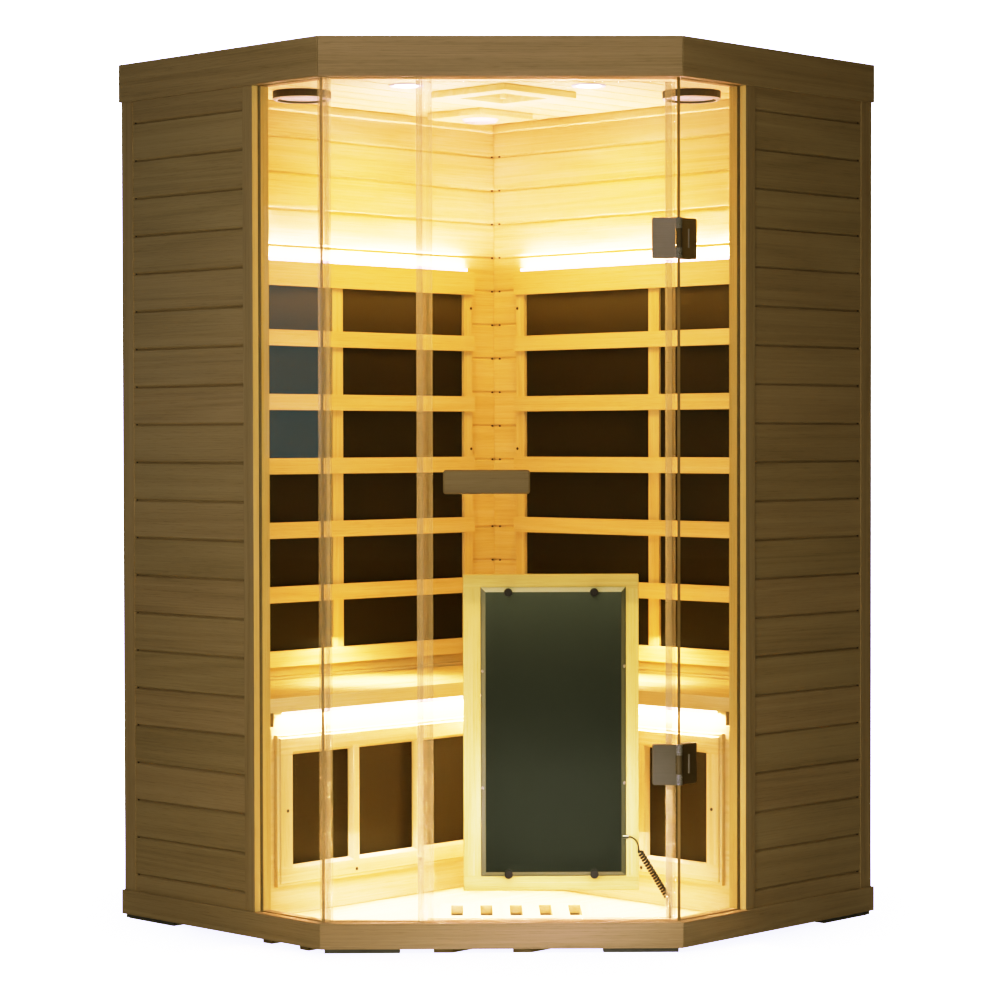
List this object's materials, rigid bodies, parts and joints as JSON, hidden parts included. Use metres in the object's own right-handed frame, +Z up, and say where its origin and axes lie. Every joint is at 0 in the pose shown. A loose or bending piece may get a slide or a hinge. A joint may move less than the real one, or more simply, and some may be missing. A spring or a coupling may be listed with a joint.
{
  "type": "corner infrared sauna cabin",
  "caption": "Corner sauna cabin with boarded timber walls, a glazed front with a hinged glass door, corner benches, slatted heater guards and a sliding roof vent.",
  "frame": {"origin": "centre of the bounding box in plan, at the floor under the feet", "axes": "+Z up; the door faces -Y; +X is the hinged side of the door, to the right of someone facing it"},
  "size_m": [1.6966, 1.3258, 1.914],
  "materials": {
    "outer_wood": "oiled brown hemlock, V-jointed boards",
    "inner_wood": "bare pale hemlock, sanded",
    "heater_panel": "matt near-black carbon heating panel",
    "glass": "clear toughened glass, polished edges",
    "clear_seal": "clear flexible strip",
    "bronze": "dark brushed bronze",
    "tray_metal": "dark grey-green satin sheet metal",
    "speaker_plastic": "dark brown satin moulding",
    "lamp_lens": "lit frosted lens",
    "box_metal": "light grey sheet metal",
    "rubber": "black satin sheath"
  },
  "bodies": {
    "cabin": {"base_rail_front": "outer_wood", "base_rail_side_left": "outer_wood", "base_rail_side_right": "outer_wood", "base_rail_rear_left": "outer_wood", "base_rail_rear_right": "outer_wood", "side_wall_left": "outer_wood", "side_wall_right": "outer_wood", "rear_wall_left": "outer_wood", "rear_wall_right": "outer_wood", "roof_rail_front": "outer_wood", "roof_rail_side_left": "outer_wood", "roof_rail_side_right": "outer_wood", "roof_rail_rear_left": "outer_wood", "roof_rail_rear_right": "outer_wood", "floor_panel": "inner_wood", "floor_heater_grille": "inner_wood", "rear_lining_left": "inner_wood", "rear_lining_right": "inner_wood", "cornice_left": "inner_wood", "cornice_right": "inner_wood", "ceiling_panel": "inner_wood", "vent_frame": "inner_wood", "lamp_frame": "inner_wood", "bench_left": "inner_wood", "bench_right": "inner_wood", "kick_panel_left": "inner_wood", "kick_panel_right": "inner_wood", "calf_guard_left": "inner_wood", "calf_guard_right": "inner_wood", "heater_guard_left": "inner_wood", "heater_guard_right": "inner_wood", "floor_heater_element": "heater_panel", "calf_heater_left": "heater_panel", "calf_heater_right": "heater_panel", "back_heater_left": "heater_panel", "back_heater_right": "heater_panel", "side_glass_left": "glass", "side_glass_right": "glass", "front_glass": "glass", "corner_seal": "clear_seal", "strike_seal": "clear_seal", "hinge_upper_fixed_leaf": "bronze", "hinge_lower_fixed_leaf": "bronze", "speaker_left": "speaker_plastic", "speaker_right": "speaker_plastic", "lamp_lens": "lamp_lens", "downlight_left": "lamp_lens", "downlight_right": "lamp_lens", "power_box": "box_metal", "curly_lead": "rubber", "lead_gland": "rubber"},
    "door": {"door_glass": "glass", "hinge_side_seal": "clear_seal", "door_handle": "outer_wood", "door_heater_frame": "inner_wood", "door_heater_tray": "tray_metal", "door_heater_element": "heater_panel", "hinge_upper_door_leaf": "bronze", "hinge_lower_door_leaf": "bronze"},
    "vent": {"vent_slider": "inner_wood"}
  },
  "joints": [
    {"name": "door_hinge", "type": "hinge", "parent": "cabin", "child": "door", "pos_m": [0.37337, -0.63803, 0], "axis": [0, 0, 1], "range_deg": [0, 110], "deforming": ["curly_lead"]},
    {"name": "vent_slide", "type": "slide", "parent": "cabin", "child": "vent", "axis": [0.7071, -0.7071, 0], "range_m": [0, 0.09]}
  ]
}
